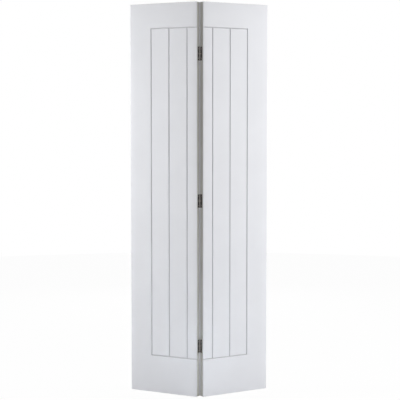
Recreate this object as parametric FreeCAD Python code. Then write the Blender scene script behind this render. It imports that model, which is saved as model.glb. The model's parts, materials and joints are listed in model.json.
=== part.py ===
# Bifold closet door: two primed plank-pattern leaves, joined edge to edge by three butt hinges.
#
# Frame: millimetres, +Z up. The door stands part folded, with its fold pointing to -Y, into the
# room, and its plan symmetric about X = 0. The origin is on the floor under the middle of the
# bounding box. The pivot leaf runs from the fold to -X, and the guide leaf to +X.
#
# Every leaf is drawn flat, as in a shut door, with the fold axis on Z, and is turned afterwards.
# Three lengths place anything in a leaf:
#   s  from the hinge edge towards the outer edge
#   n  from the back face towards the front face
#   z  up from the bottom edge

import FreeCAD, Part

import math
import os

# ---------------------------------------------------------------- driving sizes, in millimetres

# Leaves
LEAF_HEIGHT = 1981.0
LEAF_WIDTH = 377.0
SKIN_THICKNESS = 6.0
CORE_THICKNESS = 23.0
ARRIS_RADIUS = 1.0
LEAF_GAP = 0.5          # between the two hinge edges of a shut door
FOLDED_GAP = 0.2        # between the two back faces of a fully folded door
REST_TURN = 27.8        # degrees that each leaf is turned from the shut door

# Plank pattern, as groove centre lines
FACE_STILE_WIDTH = 120.0
PLANK_PITCH = 101.7
PLANK_GROOVES = 3
FACE_TOP_RAIL = 125.0
FACE_BOTTOM_RAIL = 191.0
GROOVE_WIDTH = 6.6
GROOVE_FLOOR_WIDTH = 0.6
GROOVE_DEPTH = 4.6

# Frame inside a leaf
LIPPING_THICKNESS = 8.0
STILE_WIDTH = 45.0
TOP_RAIL_HEIGHT = 110.0
BOTTOM_RAIL_HEIGHT = 150.0
CORE_TUBE_DIAMETER = 14.0
CORE_TUBE_PITCH = 20.0
CORE_TUBE_EDGE = 12.0   # least board left beside the outer tubes
DOWEL_DIAMETER = 8.0
DOWEL_LENGTH = 58.0
DOWEL_CHAMFER = 1.0
DOWEL_EDGE_DISTANCE = 20.0   # from a rail's inner edge to its nearer dowels
DOWEL_PITCH = 35.0

# Sockets for the pivots and the track guide
SOCKET_EDGE_DISTANCE = 30.0   # from the outer edge to the socket's axis
SOCKET_BORE_DIAMETER = 9.6
SOCKET_BORE_DEPTH = 38.0
SOCKET_WALL = 2.2
SOCKET_END = 3.0
SOCKET_FLANGE_RIM = 2.0
SOCKET_FLANGE_THICKNESS = 2.0

# Hinges
HINGE_HEIGHT = 68.0
HINGE_END_DISTANCE = 255.0    # from a leaf's top or bottom edge to the hinge's middle
PLATE_THICKNESS = 2.0
PLATE_REACH = 22.0            # width of the plate on the leaf's edge, from the back face
PLATE_GAP = 0.4               # between the two plates of a shut hinge
PIN_RADIUS = 2.2
KNUCKLES = 5
KNUCKLE_GAP = 0.2
CURL_SLIT = 0.25              # between a knuckle's rolled end and its plate
PIN_HEAD_RADIUS = 3.2
PIN_HEAD_HEIGHT = 1.1
PIN_HEAD_ROUNDING = 0.8

# Screws
SCREW_RADIUS = 1.75
SCREW_HEAD_RADIUS = 3.5
SCREW_LENGTH = 25.0
SCREW_TIP = 3.5
SCREW_SINK = 0.05             # head below the plate's face
SCREW_END_DISTANCE = 10.0     # from a plate's end to its outer screws
OUTER_SCREW_REACH = 15.5      # from the back face to the outer screws
MIDDLE_SCREW_REACH = 8.5      # from the back face to the middle screw
CROSS_SPAN = 3.8
CROSS_WIDTH = 0.8
CROSS_DEPTH = 1.1

# Clearances
PIN_CLEARANCE = 0.06
SCREW_CLEARANCE = 0.05
DOWEL_CLEARANCE = 0.05
DOWEL_END_CLEARANCE = 1.0
SOCKET_CLEARANCE = 0.05
MORTISE_CLEARANCE = 0.15
BARREL_CLEARANCE = 0.3        # between the barrel and what is cut away around it

# ---------------------------------------------------------------- sizes that follow from these

LEAF_THICKNESS = 2 * SKIN_THICKNESS + CORE_THICKNESS
HALF_GAP = LEAF_GAP / 2
MID_THICKNESS = LEAF_THICKNESS / 2
CORE_N = (SKIN_THICKNESS, SKIN_THICKNESS + CORE_THICKNESS)
FULL_Z = (0.0, LEAF_HEIGHT)

PIN_HOLE_RADIUS = PIN_RADIUS + PIN_CLEARANCE
BARREL_RADIUS = PIN_HOLE_RADIUS + PLATE_THICKNESS
BARREL_ROOM = BARREL_RADIUS + BARREL_CLEARANCE
AXIS_SETBACK = FOLDED_GAP / 2   # fold axis behind the back faces

PLATE_S = (PLATE_GAP / 2 - HALF_GAP, PLATE_GAP / 2 - HALF_GAP + PLATE_THICKNESS)
MORTISE_DEPTH = PLATE_S[1]

HINGE_HEIGHTS = {
    "top_hinge": LEAF_HEIGHT - HINGE_END_DISTANCE,
    "middle_hinge": LEAF_HEIGHT / 2,
    "bottom_hinge": HINGE_END_DISTANCE,
}

OUTER_STILE_S = (LEAF_WIDTH - LIPPING_THICKNESS - STILE_WIDTH, LEAF_WIDTH - LIPPING_THICKNESS)
HINGE_STILE_S = (LIPPING_THICKNESS, LIPPING_THICKNESS + STILE_WIDTH)
RAIL_S = (HINGE_STILE_S[1], OUTER_STILE_S[0])
TOP_RAIL_Z = (LEAF_HEIGHT - TOP_RAIL_HEIGHT, LEAF_HEIGHT)
BOTTOM_RAIL_Z = (0.0, BOTTOM_RAIL_HEIGHT)
CORE_Z = (BOTTOM_RAIL_Z[1], TOP_RAIL_Z[0])
DOWEL_HEIGHTS = (TOP_RAIL_Z[0] + DOWEL_EDGE_DISTANCE + DOWEL_PITCH,
                 TOP_RAIL_Z[0] + DOWEL_EDGE_DISTANCE,
                 BOTTOM_RAIL_Z[1] - DOWEL_EDGE_DISTANCE,
                 BOTTOM_RAIL_Z[1] - DOWEL_EDGE_DISTANCE - DOWEL_PITCH)

SOCKET_RADIUS = SOCKET_BORE_DIAMETER / 2 + SOCKET_WALL
SOCKET_LENGTH = SOCKET_BORE_DEPTH + SOCKET_END
SOCKET_FLANGE_RADIUS = SOCKET_RADIUS + SOCKET_FLANGE_RIM
SOCKET_S = LEAF_WIDTH - SOCKET_EDGE_DISTANCE

OVERRUN = 5.0            # how far a cutting tool runs past the face that it enters
SAME_PLACE = 0.01        # nearer to each other than this, two places are one

LEAVES = {"pivot_leaf": -1, "guide_leaf": 1}
SOCKETS = {"pivot_leaf": ("top", "bottom"), "guide_leaf": ("top",)}


# ---------------------------------------------------------------- placing things in a leaf

def leaf_point(side, s, n, z):
    """The point s, n, z of the leaf on that side, while the door is flat."""
    return FreeCAD.Vector(side * (HALF_GAP + s), -(AXIS_SETBACK + n), z)


def leaf_box(side, s, n, z):
    """A box between the pairs s, n and z of the leaf on that side."""
    a = leaf_point(side, s[0], n[0], z[0])
    b = leaf_point(side, s[1], n[1], z[1])
    low = FreeCAD.Vector(min(a.x, b.x), min(a.y, b.y), min(a.z, b.z))
    return Part.makeBox(abs(b.x - a.x), abs(b.y - a.y), abs(b.z - a.z), low)


def along_s(side):
    """The direction from the hinge edge to the outer edge."""
    return FreeCAD.Vector(side, 0, 0)


def rod_along_s(side, radius, s, n, z):
    """A round rod of the leaf from s[0] to s[1]."""
    return Part.makeCylinder(radius, s[1] - s[0], leaf_point(side, s[0], n, z), along_s(side))


def axis_cylinder(radius, span):
    """A round rod on the fold axis between the two heights of span."""
    return Part.makeCylinder(radius, span[1] - span[0], FreeCAD.Vector(0, 0, span[0]))


# ---------------------------------------------------------------- face skins

def groove_run(side, face_n, inward, start, end):
    """The V-shaped cutter for a groove between two points (s, z) of a face."""
    first = leaf_point(side, start[0], face_n, start[1])
    run = leaf_point(side, end[0], face_n, end[1]) - first
    depth_way = FreeCAD.Vector(0, -inward, 0)
    across = run.cross(depth_way).normalize()
    slope = (GROOVE_WIDTH - GROOVE_FLOOR_WIDTH) / 2 / GROOVE_DEPTH
    mouth = GROOVE_WIDTH / 2 + slope * OVERRUN
    lip = first - depth_way * OVERRUN
    floor = first + depth_way * GROOVE_DEPTH
    half_floor = GROOVE_FLOOR_WIDTH / 2
    corners = [lip + across * mouth, floor + across * half_floor,
               floor - across * half_floor, lip - across * mouth]
    return Part.Face(Part.makePolygon(corners + corners[:1])).extrude(run)


def groove_end(side, face_n, inward, point):
    """The cone that a groove ends in, where the router bit is lifted out."""
    slope = (GROOVE_WIDTH - GROOVE_FLOOR_WIDTH) / 2 / GROOVE_DEPTH
    depth_way = FreeCAD.Vector(0, -inward, 0)
    top = leaf_point(side, point[0], face_n, point[1]) - depth_way * OVERRUN
    return Part.makeCone(GROOVE_WIDTH / 2 + slope * OVERRUN, GROOVE_FLOOR_WIDTH / 2,
                         OVERRUN + GROOVE_DEPTH, top, depth_way)


def groove_cutters(side, face_n, inward):
    """All grooves of one face: the upright ones, and one along each rail, out over the hinge edge."""
    low, high = FACE_BOTTOM_RAIL, LEAF_HEIGHT - FACE_TOP_RAIL
    stile_line = LEAF_WIDTH - FACE_STILE_WIDTH
    cutters = []
    for count in range(PLANK_GROOVES):
        s = stile_line - count * PLANK_PITCH
        cutters.append(groove_run(side, face_n, inward, (s, low), (s, high)))
    for z in (low, high):
        cutters.append(groove_run(side, face_n, inward, (stile_line, z), (-OVERRUN, z)))
        cutters.append(groove_end(side, face_n, inward, (stile_line, z)))
    return cutters


def rounded_board(side, n, round_n, rounded_s):
    """A full-size skin, its long edges rounded at the depth round_n and the widths rounded_s."""
    board = leaf_box(side, (0, LEAF_WIDTH), n, FULL_Z)
    corners = [leaf_point(side, s, round_n, 0) for s in rounded_s]
    edges = []
    for edge in board.Edges:
        low, high = edge.Vertexes[0].Point, edge.Vertexes[-1].Point
        upright = abs(low.z - high.z) > LEAF_HEIGHT / 2
        if upright and any(math.hypot(low.x - c.x, low.y - c.y) < SAME_PLACE for c in corners):
            edges.append(edge)
    return board.makeFillet(ARRIS_RADIUS, edges)


def mortises(side):
    """The shallow recesses that the hinge plates sit in, cut in the hinge edge from the back face."""
    half = HINGE_HEIGHT / 2 + MORTISE_CLEARANCE
    return [leaf_box(side, (-OVERRUN, MORTISE_DEPTH), (-OVERRUN, PLATE_REACH + MORTISE_CLEARANCE),
                     (middle - half, middle + half)) for middle in HINGE_HEIGHTS.values()]


def barrel_recesses():
    """The round recesses in the back hinge edge that the barrels and their pin heads turn in."""
    half = HINGE_HEIGHT / 2 + PIN_CLEARANCE + PIN_HEAD_HEIGHT + BARREL_CLEARANCE
    return [axis_cylinder(BARREL_ROOM, (middle - half, middle + half))
            for middle in HINGE_HEIGHTS.values()]


def front_skin(side):
    board = rounded_board(side, (CORE_N[1], LEAF_THICKNESS), LEAF_THICKNESS, (0, LEAF_WIDTH))
    return board.cut(groove_cutters(side, LEAF_THICKNESS, -1))


def back_skin(side):
    """The back face. Its hinge edge stays square, so that the leaves meet closely there."""
    board = rounded_board(side, (0, SKIN_THICKNESS), 0, (LEAF_WIDTH,))
    return board.cut(groove_cutters(side, 0, 1) + mortises(side) + barrel_recesses())


# ---------------------------------------------------------------- frame and core

def screw_places(middle):
    """The height z and the depth n of the three screws of a plate, the middle one nearer the pin."""
    out = HINGE_HEIGHT / 2 - SCREW_END_DISTANCE
    return ((middle - out, OUTER_SCREW_REACH), (middle, MIDDLE_SCREW_REACH),
            (middle + out, OUTER_SCREW_REACH))


def screw_pilots(side):
    """The screw holes of all hinges in one leaf."""
    reach = (-OVERRUN, PLATE_S[0] + SCREW_LENGTH + DOWEL_END_CLEARANCE)
    return [rod_along_s(side, SCREW_RADIUS + SCREW_CLEARANCE, reach, n, z)
            for middle in HINGE_HEIGHTS.values() for z, n in screw_places(middle)]


def dowel_span(joint, extra=0.0):
    """Where a dowel across the stile and rail joint at s = joint begins and ends."""
    half = DOWEL_LENGTH / 2 + extra
    return (joint - half, joint + half)


def dowel_holes(side):
    """The dowel holes at both ends of both rails."""
    return [rod_along_s(side, DOWEL_DIAMETER / 2 + DOWEL_CLEARANCE,
                        dowel_span(joint, DOWEL_END_CLEARANCE), MID_THICKNESS, z)
            for joint in RAIL_S for z in DOWEL_HEIGHTS]


def dowels(side):
    """The dowels of one leaf, with chamfered ends."""
    pegs = []
    for joint in RAIL_S:
        start, stop = dowel_span(joint)
        for z in DOWEL_HEIGHTS:
            radius = DOWEL_DIAMETER / 2
            body = rod_along_s(side, radius, (start + DOWEL_CHAMFER, stop - DOWEL_CHAMFER),
                               MID_THICKNESS, z)
            near = Part.makeCone(radius - DOWEL_CHAMFER, radius, DOWEL_CHAMFER,
                                 leaf_point(side, start, MID_THICKNESS, z), along_s(side))
            far = Part.makeCone(radius, radius - DOWEL_CHAMFER, DOWEL_CHAMFER,
                                leaf_point(side, stop - DOWEL_CHAMFER, MID_THICKNESS, z),
                                along_s(side))
            pegs.append(body.fuse([near, far]).removeSplitter())
    return Part.makeCompound(pegs)


def socket_frame(side, end):
    """The middle of a socket's mouth, and the direction from there into the leaf."""
    if end == "top":
        return leaf_point(side, SOCKET_S, MID_THICKNESS, LEAF_HEIGHT), FreeCAD.Vector(0, 0, -1)
    return leaf_point(side, SOCKET_S, MID_THICKNESS, 0), FreeCAD.Vector(0, 0, 1)


def socket_hole(side, end):
    """The stepped hole in a stile for a socket and its flange."""
    mouth, inward = socket_frame(side, end)
    start = mouth - inward * OVERRUN
    body = Part.makeCylinder(SOCKET_RADIUS + SOCKET_CLEARANCE,
                             OVERRUN + SOCKET_LENGTH + SOCKET_CLEARANCE, start, inward)
    flange = Part.makeCylinder(SOCKET_FLANGE_RADIUS + SOCKET_CLEARANCE,
                               OVERRUN + SOCKET_FLANGE_THICKNESS + SOCKET_CLEARANCE, start, inward)
    return body.fuse(flange)


def socket(side, end):
    """A closed-ended socket, flush with the leaf's edge, that takes a pivot or the track guide."""
    mouth, inward = socket_frame(side, end)
    body = Part.makeCylinder(SOCKET_RADIUS, SOCKET_LENGTH, mouth, inward)
    flange = Part.makeCylinder(SOCKET_FLANGE_RADIUS, SOCKET_FLANGE_THICKNESS, mouth, inward)
    bore = Part.makeCylinder(SOCKET_BORE_DIAMETER / 2, OVERRUN + SOCKET_BORE_DEPTH,
                             mouth - inward * OVERRUN, inward)
    return body.fuse(flange).cut(bore)


def outer_lipping(side):
    return leaf_box(side, (LEAF_WIDTH - LIPPING_THICKNESS, LEAF_WIDTH), CORE_N, FULL_Z)


def hinge_lipping(side):
    strip = leaf_box(side, (0, LIPPING_THICKNESS), CORE_N, FULL_Z)
    return strip.cut(mortises(side) + screw_pilots(side))


def outer_stile(side, ends):
    stile = leaf_box(side, OUTER_STILE_S, CORE_N, FULL_Z)
    return stile.cut(dowel_holes(side) + [socket_hole(side, end) for end in ends])


def hinge_stile(side):
    stile = leaf_box(side, HINGE_STILE_S, CORE_N, FULL_Z)
    return stile.cut(dowel_holes(side) + screw_pilots(side))


def rail(side, z):
    return leaf_box(side, RAIL_S, CORE_N, z).cut(dowel_holes(side))


def tubular_core(side):
    """The extruded chipboard that fills the frame, with round tubes running up it."""
    board = leaf_box(side, RAIL_S, CORE_N, CORE_Z)
    clear = RAIL_S[1] - RAIL_S[0] - 2 * CORE_TUBE_EDGE - CORE_TUBE_DIAMETER
    gaps = int(clear // CORE_TUBE_PITCH)
    first = (RAIL_S[0] + RAIL_S[1] - gaps * CORE_TUBE_PITCH) / 2
    tubes = [Part.makeCylinder(CORE_TUBE_DIAMETER / 2, CORE_Z[1] - CORE_Z[0] + 2 * OVERRUN,
                               leaf_point(side, first + count * CORE_TUBE_PITCH, MID_THICKNESS,
                                          CORE_Z[0] - OVERRUN))
             for count in range(gaps + 1)]
    return board.cut(tubes)


# ---------------------------------------------------------------- hinges

def knuckle_spans(middle):
    """The heights between which each knuckle of a hinge lies, from the bottom one up."""
    pitch = HINGE_HEIGHT / KNUCKLES
    bottom = middle - HINGE_HEIGHT / 2
    spans = []
    for count in range(KNUCKLES):
        low = bottom + count * pitch + (KNUCKLE_GAP / 2 if count else 0)
        high = bottom + (count + 1) * pitch - (KNUCKLE_GAP / 2 if count < KNUCKLES - 1 else 0)
        spans.append((low, high))
    return spans


def hinge_plate(side, middle, own_first):
    """One half of a hinge: its plate, with every second knuckle of the barrel rolled from it."""
    spans = knuckle_spans(middle)
    height = (middle - HINGE_HEIGHT / 2, middle + HINGE_HEIGHT / 2)
    plate = leaf_box(side, PLATE_S, (-AXIS_SETBACK, PLATE_REACH), height)
    own = spans[own_first::2]
    other = spans[1 - own_first::2]
    half = plate.fuse([axis_cylinder(BARREL_RADIUS, span) for span in own])
    cutters = [axis_cylinder(PIN_HOLE_RADIUS, (height[0] - OVERRUN, height[1] + OVERRUN))]
    for low, high in other:
        cutters.append(leaf_box(side, (PLATE_S[0] - OVERRUN, PLATE_S[1] + OVERRUN),
                                (-AXIS_SETBACK - BARREL_ROOM, -AXIS_SETBACK + BARREL_ROOM),
                                (low - KNUCKLE_GAP, high + KNUCKLE_GAP)))
    for low, high in own:
        cutters.append(leaf_box(side, (PLATE_S[0] - CURL_SLIT, PLATE_S[0]),
                                (-AXIS_SETBACK, -AXIS_SETBACK + BARREL_ROOM),
                                (low - KNUCKLE_GAP, high + KNUCKLE_GAP)))
    for z, n in screw_places(middle):
        cutters.append(rod_along_s(side, SCREW_RADIUS + SCREW_CLEARANCE,
                                   (PLATE_S[0] - OVERRUN, PLATE_S[1] + OVERRUN), n, z))
        cutters.append(countersink(side, SCREW_CLEARANCE, n, z))
    return half.cut(cutters)


def countersink(side, extra, n, z):
    """The 90 degree cone of a screw's head, or of its seat when it is made larger by extra."""
    face = PLATE_S[0] + (0 if extra else SCREW_SINK)
    large = SCREW_HEAD_RADIUS + extra
    small = SCREW_RADIUS
    return Part.makeCone(large, small, large - small, leaf_point(side, face, n, z), along_s(side))


def screw(side, n, z):
    """A countersunk wood screw with a cross recess, its point in the stile."""
    head = countersink(side, 0, n, z)
    face = PLATE_S[0] + SCREW_SINK
    tip_start = face + SCREW_LENGTH - SCREW_TIP
    shank = rod_along_s(side, SCREW_RADIUS, (face + SCREW_HEAD_RADIUS - SCREW_RADIUS, tip_start),
                        n, z)
    tip = Part.makeCone(SCREW_RADIUS, 0, SCREW_TIP, leaf_point(side, tip_start, n, z),
                        along_s(side))
    body = head.fuse([shank, tip]).removeSplitter()
    deep = (face - OVERRUN, face + CROSS_DEPTH)
    span, width = CROSS_SPAN / 2, CROSS_WIDTH / 2
    slots = [leaf_box(side, deep, (n - span, n + span), (z - width, z + width)),
             leaf_box(side, deep, (n - width, n + width), (z - span, z + span))]
    return body.cut(slots)


def screws(side, middle):
    return Part.makeCompound([screw(side, n, z) for z, n in screw_places(middle)])


def pin_head(end, up):
    """A low button head on the pin's end at that height."""
    head = Part.makeCylinder(PIN_HEAD_RADIUS, PIN_HEAD_HEIGHT, FreeCAD.Vector(0, 0, end),
                             FreeCAD.Vector(0, 0, up))
    rims = [edge for edge in head.Edges
            if isinstance(edge.Curve, Part.Circle) and abs(edge.Curve.Center.z - end) > SAME_PLACE]
    return head.makeFillet(PIN_HEAD_ROUNDING, rims)


def hinge_pin(middle):
    """The pin of a hinge, with a button head at each end of the barrel."""
    half = HINGE_HEIGHT / 2 + PIN_CLEARANCE
    span = (middle - half, middle + half)
    return axis_cylinder(PIN_RADIUS, span).fuse([pin_head(span[0], -1), pin_head(span[1], 1)])


# ---------------------------------------------------------------- the door

def leaf_nodes(leaf, side):
    """Every fixed piece of one leaf, drawn flat."""
    nodes = {
        "front_skin": front_skin(side),
        "back_skin": back_skin(side),
        "outer_lipping": outer_lipping(side),
        "hinge_lipping": hinge_lipping(side),
        "outer_stile": outer_stile(side, SOCKETS[leaf]),
        "hinge_stile": hinge_stile(side),
        "top_rail": rail(side, TOP_RAIL_Z),
        "bottom_rail": rail(side, BOTTOM_RAIL_Z),
        "tubular_core": tubular_core(side),
        "dowels": dowels(side),
    }
    for end in SOCKETS[leaf]:
        nodes[end + "_socket"] = socket(side, end)
    return {leaf + "_" + name: shape for name, shape in nodes.items()}


def hinge_nodes(hinge, middle):
    """The pieces of one hinge as (name, side, shape). The pin stays with the pivot leaf's plate."""
    pivot, guide = LEAVES["pivot_leaf"], LEAVES["guide_leaf"]
    return [
        (hinge + "_pivot_plate", pivot, hinge_plate(pivot, middle, 0)),
        (hinge + "_guide_plate", guide, hinge_plate(guide, middle, 1)),
        (hinge + "_pin", pivot, hinge_pin(middle)),
        (hinge + "_pivot_screws", pivot, screws(pivot, middle)),
        (hinge + "_guide_screws", guide, screws(guide, middle)),
    ]


def depth_middle():
    """The Y of the middle of the turned door's bounding box, before it is moved to the origin."""
    turn = math.radians(REST_TURN)
    fold_x = HALF_GAP + ARRIS_RADIUS
    fold_y = -(AXIS_SETBACK + LEAF_THICKNESS - ARRIS_RADIUS)
    front = fold_x * math.sin(turn) + fold_y * math.cos(turn) - ARRIS_RADIUS
    end_x = HALF_GAP + LEAF_WIDTH - ARRIS_RADIUS
    end_y = -(AXIS_SETBACK + ARRIS_RADIUS)
    back = end_x * math.sin(turn) + end_y * math.cos(turn) + ARRIS_RADIUS
    return (front + back) / 2


def place(shape, side):
    """Turns a flat piece about the fold axis to the standing pose, and moves it to the origin."""
    shape.rotate(FreeCAD.Vector(0, 0, 0), FreeCAD.Vector(0, 0, 1), side * REST_TURN)
    shape.translate(FreeCAD.Vector(0, -depth_middle(), 0))
    return shape


def main():
    os.makedirs("parts", exist_ok=True)
    for leaf, side in LEAVES.items():
        for name, shape in leaf_nodes(leaf, side).items():
            place(shape, side).exportStep("parts/" + name + ".step")
    for hinge, middle in HINGE_HEIGHTS.items():
        for name, side, shape in hinge_nodes(hinge, middle):
            place(shape, side).exportStep("parts/" + name + ".step")


main()
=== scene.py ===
# %% [markdown]
# # A bifold closet door
#
# Two tall leaves hang edge to edge on three butt hinges and fold towards the room. The joinery
# comes from the CAD model: this lesson loads it, then dresses it. The leaves get moulded faces
# under white primer, the hinges get rolled steel, and the hidden frame gets its woods.
#
# The CAD model is the frame that everything else is measured from, so it comes first.

# %% Load the frame
import json
import math

import bmesh
import bpy
import numpy as np
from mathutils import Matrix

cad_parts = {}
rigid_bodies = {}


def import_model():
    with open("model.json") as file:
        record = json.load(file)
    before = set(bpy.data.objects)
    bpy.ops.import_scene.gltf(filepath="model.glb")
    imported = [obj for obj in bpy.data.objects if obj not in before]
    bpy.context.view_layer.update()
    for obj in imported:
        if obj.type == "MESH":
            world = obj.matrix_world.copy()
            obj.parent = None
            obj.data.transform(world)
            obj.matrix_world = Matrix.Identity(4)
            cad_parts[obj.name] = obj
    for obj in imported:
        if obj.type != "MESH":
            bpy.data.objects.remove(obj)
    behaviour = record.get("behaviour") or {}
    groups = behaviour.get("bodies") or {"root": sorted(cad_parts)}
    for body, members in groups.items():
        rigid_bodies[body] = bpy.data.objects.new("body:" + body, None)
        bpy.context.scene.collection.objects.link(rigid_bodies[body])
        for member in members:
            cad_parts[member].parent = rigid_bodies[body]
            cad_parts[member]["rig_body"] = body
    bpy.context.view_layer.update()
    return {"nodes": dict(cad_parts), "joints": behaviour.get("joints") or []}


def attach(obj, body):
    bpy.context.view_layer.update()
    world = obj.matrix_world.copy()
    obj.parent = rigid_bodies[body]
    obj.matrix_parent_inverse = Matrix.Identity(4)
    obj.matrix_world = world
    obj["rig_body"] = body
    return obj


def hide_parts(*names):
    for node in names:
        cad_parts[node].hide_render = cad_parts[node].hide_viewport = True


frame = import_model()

# %% [markdown]
# ## Where things are in a leaf
#
# A joiner measures a door leaf from its own edges, not from the room. Every piece here is placed
# the same way, by three lengths: `s` from the hinge edge towards the outer edge, `n` from the back
# face towards the front face, and `z` up from the bottom edge. One function then turns the leaf
# about the fold's axis to where it stands. The axis and the angle are read from the model's joint,
# so the pieces would follow if the door were stored at another angle.

# %% Sizes of a leaf, in metres
LEAF_HEIGHT = 1.981
LEAF_WIDTH = 0.377
SKIN = 0.006
CORE = 0.023
THICKNESS = 2 * SKIN + CORE
EDGE_GAP = 0.0005         # between the hinge edges of the shut door
FOLDED_GAP = 0.0002       # between the back faces of the folded door

fold = frame["joints"][0]
AXIS_Y = fold["pos_m"][1]
TURN = math.radians(-fold["range_deg"][0] / 2)
SIDES = {"pivot_leaf": -1, "guide_leaf": 1}


def in_leaf(side, s, n, z):
    """Points of the room for points of a leaf: x and y are s and n measured from the fold's axis,
    turned about it by the leaf's angle."""
    s, n, z = np.broadcast_arrays(s, n, z)
    x = side * (EDGE_GAP / 2 + s)
    y = -(FOLDED_GAP / 2 + n)
    cos, sin = math.cos(side * TURN), math.sin(side * TURN)
    return np.stack([x * cos - y * sin, x * sin + y * cos + AXIS_Y, z], axis=-1)


print("fold axis at y =", AXIS_Y, "and each leaf turned", round(math.degrees(TURN), 2), "degrees")

# %% [markdown]
# ## The camera
#
# The door is seen from a little under eye height, about five and a half metres away, through a
# long lens, and a little left of the fold. The camera looks down by three and a half degrees. A small
# shift of the picture does the rest, so that the long edges stay almost parallel.

# %% Camera
EYE = (-0.1548, AXIS_Y - 5.6068, 1.4049)
PAN = math.radians(-1.591)
TILT = math.radians(-3.566)
LENS = 100.75             # millimetres, like the width of the sensor
SENSOR_WIDTH = 36.0
PICTURE_SHIFT = -0.030    # of the picture's width, downwards

camera = bpy.data.objects.new("camera", bpy.data.cameras.new("camera"))
camera.data.lens = LENS
camera.data.sensor_width = SENSOR_WIDTH
camera.data.shift_y = PICTURE_SHIFT
camera.location = EYE
camera.rotation_euler = (math.pi / 2 + TILT, 0.0, PAN)
bpy.context.scene.collection.objects.link(camera)
bpy.context.scene.camera = camera
bpy.context.scene.view_settings.view_transform = "Standard"
print("camera distance to the fold:", round(math.dist(EYE[:2], (0, AXIS_Y)), 3), "m")

# %% [markdown]
# ## Making meshes from grids
#
# Almost every piece of joinery is a board: two faces with a border between them. So one helper
# takes two grids of points, the shown face and the hidden one, and closes the border between
# them. The grids are whole arrays, which keeps the formulas readable.
#
# The left and right leaves mirror each other, and mirroring turns a surface inside out. The helper
# therefore lets Blender work the normals out again on the closed shell. Edges sharper than thirty
# degrees stay crisp, and the rest is shaded smooth.

# %% Grid helpers
CRISP = math.radians(30)
MERGE = 1e-7              # points closer than this are one


def quads(index):
    """The four-sided faces between neighbours in a grid of vertex numbers."""
    corners = [index[:-1, :-1], index[:-1, 1:], index[1:, 1:], index[1:, :-1]]
    return np.stack(corners, axis=-1).reshape(-1, 4)


def new_piece(name, points, faces, body, marks=()):
    """A closed mesh object from points and faces, riding on a body, with its normals outwards.
    Each mark is a name and one number a point, which a finish can read as an attribute."""
    mesh = bpy.data.meshes.new(name)
    mesh.from_pydata(points.reshape(-1, 3).tolist(), [], faces.tolist())
    for mark, values in dict(marks).items():
        mesh.attributes.new(mark, "FLOAT", "POINT").data.foreach_set("value", values.ravel())
    shell = bmesh.new()
    shell.from_mesh(mesh)
    bmesh.ops.remove_doubles(shell, verts=shell.verts, dist=MERGE)
    bmesh.ops.recalc_face_normals(shell, faces=shell.faces)
    open_edges = sum(1 for edge in shell.edges if not edge.is_manifold)
    shell.to_mesh(mesh)
    shell.free()
    mesh.shade_smooth()
    mesh.set_sharp_from_angle(angle=CRISP)
    piece = bpy.data.objects.new(name, mesh)
    bpy.context.scene.collection.objects.link(piece)
    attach(piece, body)
    print(f"{name}: {len(mesh.polygons)} faces, {open_edges} open edges")
    return piece


def board(name, shown, hidden, body, marks=()):
    """A closed board from two grids of the same shape: both faces, and four strips between their
    borders. Marks are grids of that shape too, and count for both faces."""
    rows, columns = shown.shape[:2]
    front = np.arange(rows * columns).reshape(rows, columns)
    back = front + rows * columns
    faces = [quads(front), quads(back[:, ::-1])]
    for pair in ((front[:, 0], back[:, 0]), (front[:, -1], back[:, -1]),
                 (front[0], back[0]), (front[-1], back[-1])):
        faces.append(quads(np.stack(pair, axis=1)))
    both = {mark: np.stack([values, values]) for mark, values in dict(marks).items()}
    return new_piece(name, np.concatenate([shown.reshape(-1, 3), hidden.reshape(-1, 3)]),
                     np.concatenate(faces), body, both)


# %% [markdown]
# ## The moulded faces
#
# Each leaf is faced with a thin fibreboard skin, front and back. Grooves milled into it mark out
# planks between rails, and primer then softens every edge. The grooves could be cut with boolean
# solids or faked with a bump map. A height field is better here: the depth below the face is one
# formula in `s` and `z`, with real shadows, and the soft shoulders come for free.
#
# A groove is a straight line, and its depth depends only on the distance to that line. Where
# grooves meet, the deepest one wins, which is what a router does.

# %% Groove pattern
FACE_STILE = 0.120        # from the outer edge to the first upright groove
BOTTOM_RAIL = 0.191
TOP_RAIL = 0.125
PLANK_PITCH = 0.1017
UPRIGHTS = 3
STILE_LINE = LEAF_WIDTH - FACE_STILE
UPRIGHT_LINES = [STILE_LINE - k * PLANK_PITCH for k in range(UPRIGHTS)]
RAIL_LINES = [BOTTOM_RAIL, LEAF_HEIGHT - TOP_RAIL]
GROOVE_WIDTH = 0.0066
GROOVE_FLOOR = 0.0006
GROOVE_DEPTH = 0.0046


def groove_profile(distance):
    """Depth of a groove at a distance from its centre line: a straight wall from the floor's edge
    to the shoulder, half of it replaced by a smooth step so that both ends are rounded."""
    rise = (GROOVE_WIDTH - GROOVE_FLOOR) / 2
    wall = np.clip((GROOVE_WIDTH / 2 - distance) / rise, 0, 1)
    step = wall * wall * (3 - 2 * wall)
    return GROOVE_DEPTH * (wall + step) / 2


def groove_depth(s, z):
    """Depth of the whole pattern at s, z: the deepest of the upright grooves, which end at the
    rail lines, and the rail grooves, which run out over the hinge edge."""
    low, high = RAIL_LINES
    past_ends = np.maximum(np.maximum(low - z, z - high), 0)
    depth = np.zeros(np.broadcast(s, z).shape)
    for line in UPRIGHT_LINES:
        depth = np.maximum(depth, groove_profile(np.hypot(s - line, past_ends)))
    past_stile = np.maximum(s - STILE_LINE, 0)
    for line in RAIL_LINES:
        depth = np.maximum(depth, groove_profile(np.hypot(past_stile, z - line)))
    return depth


def groove_mark(s, z):
    """The depth as a share of the deepest, from 0 to 1, which the primer reads to paint shade down
    the grooves.
    """
    return {"groove": groove_depth(s, z) / GROOVE_DEPTH}


print("upright grooves at", [round(line, 4) for line in UPRIGHT_LINES], "rails at", RAIL_LINES)

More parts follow.
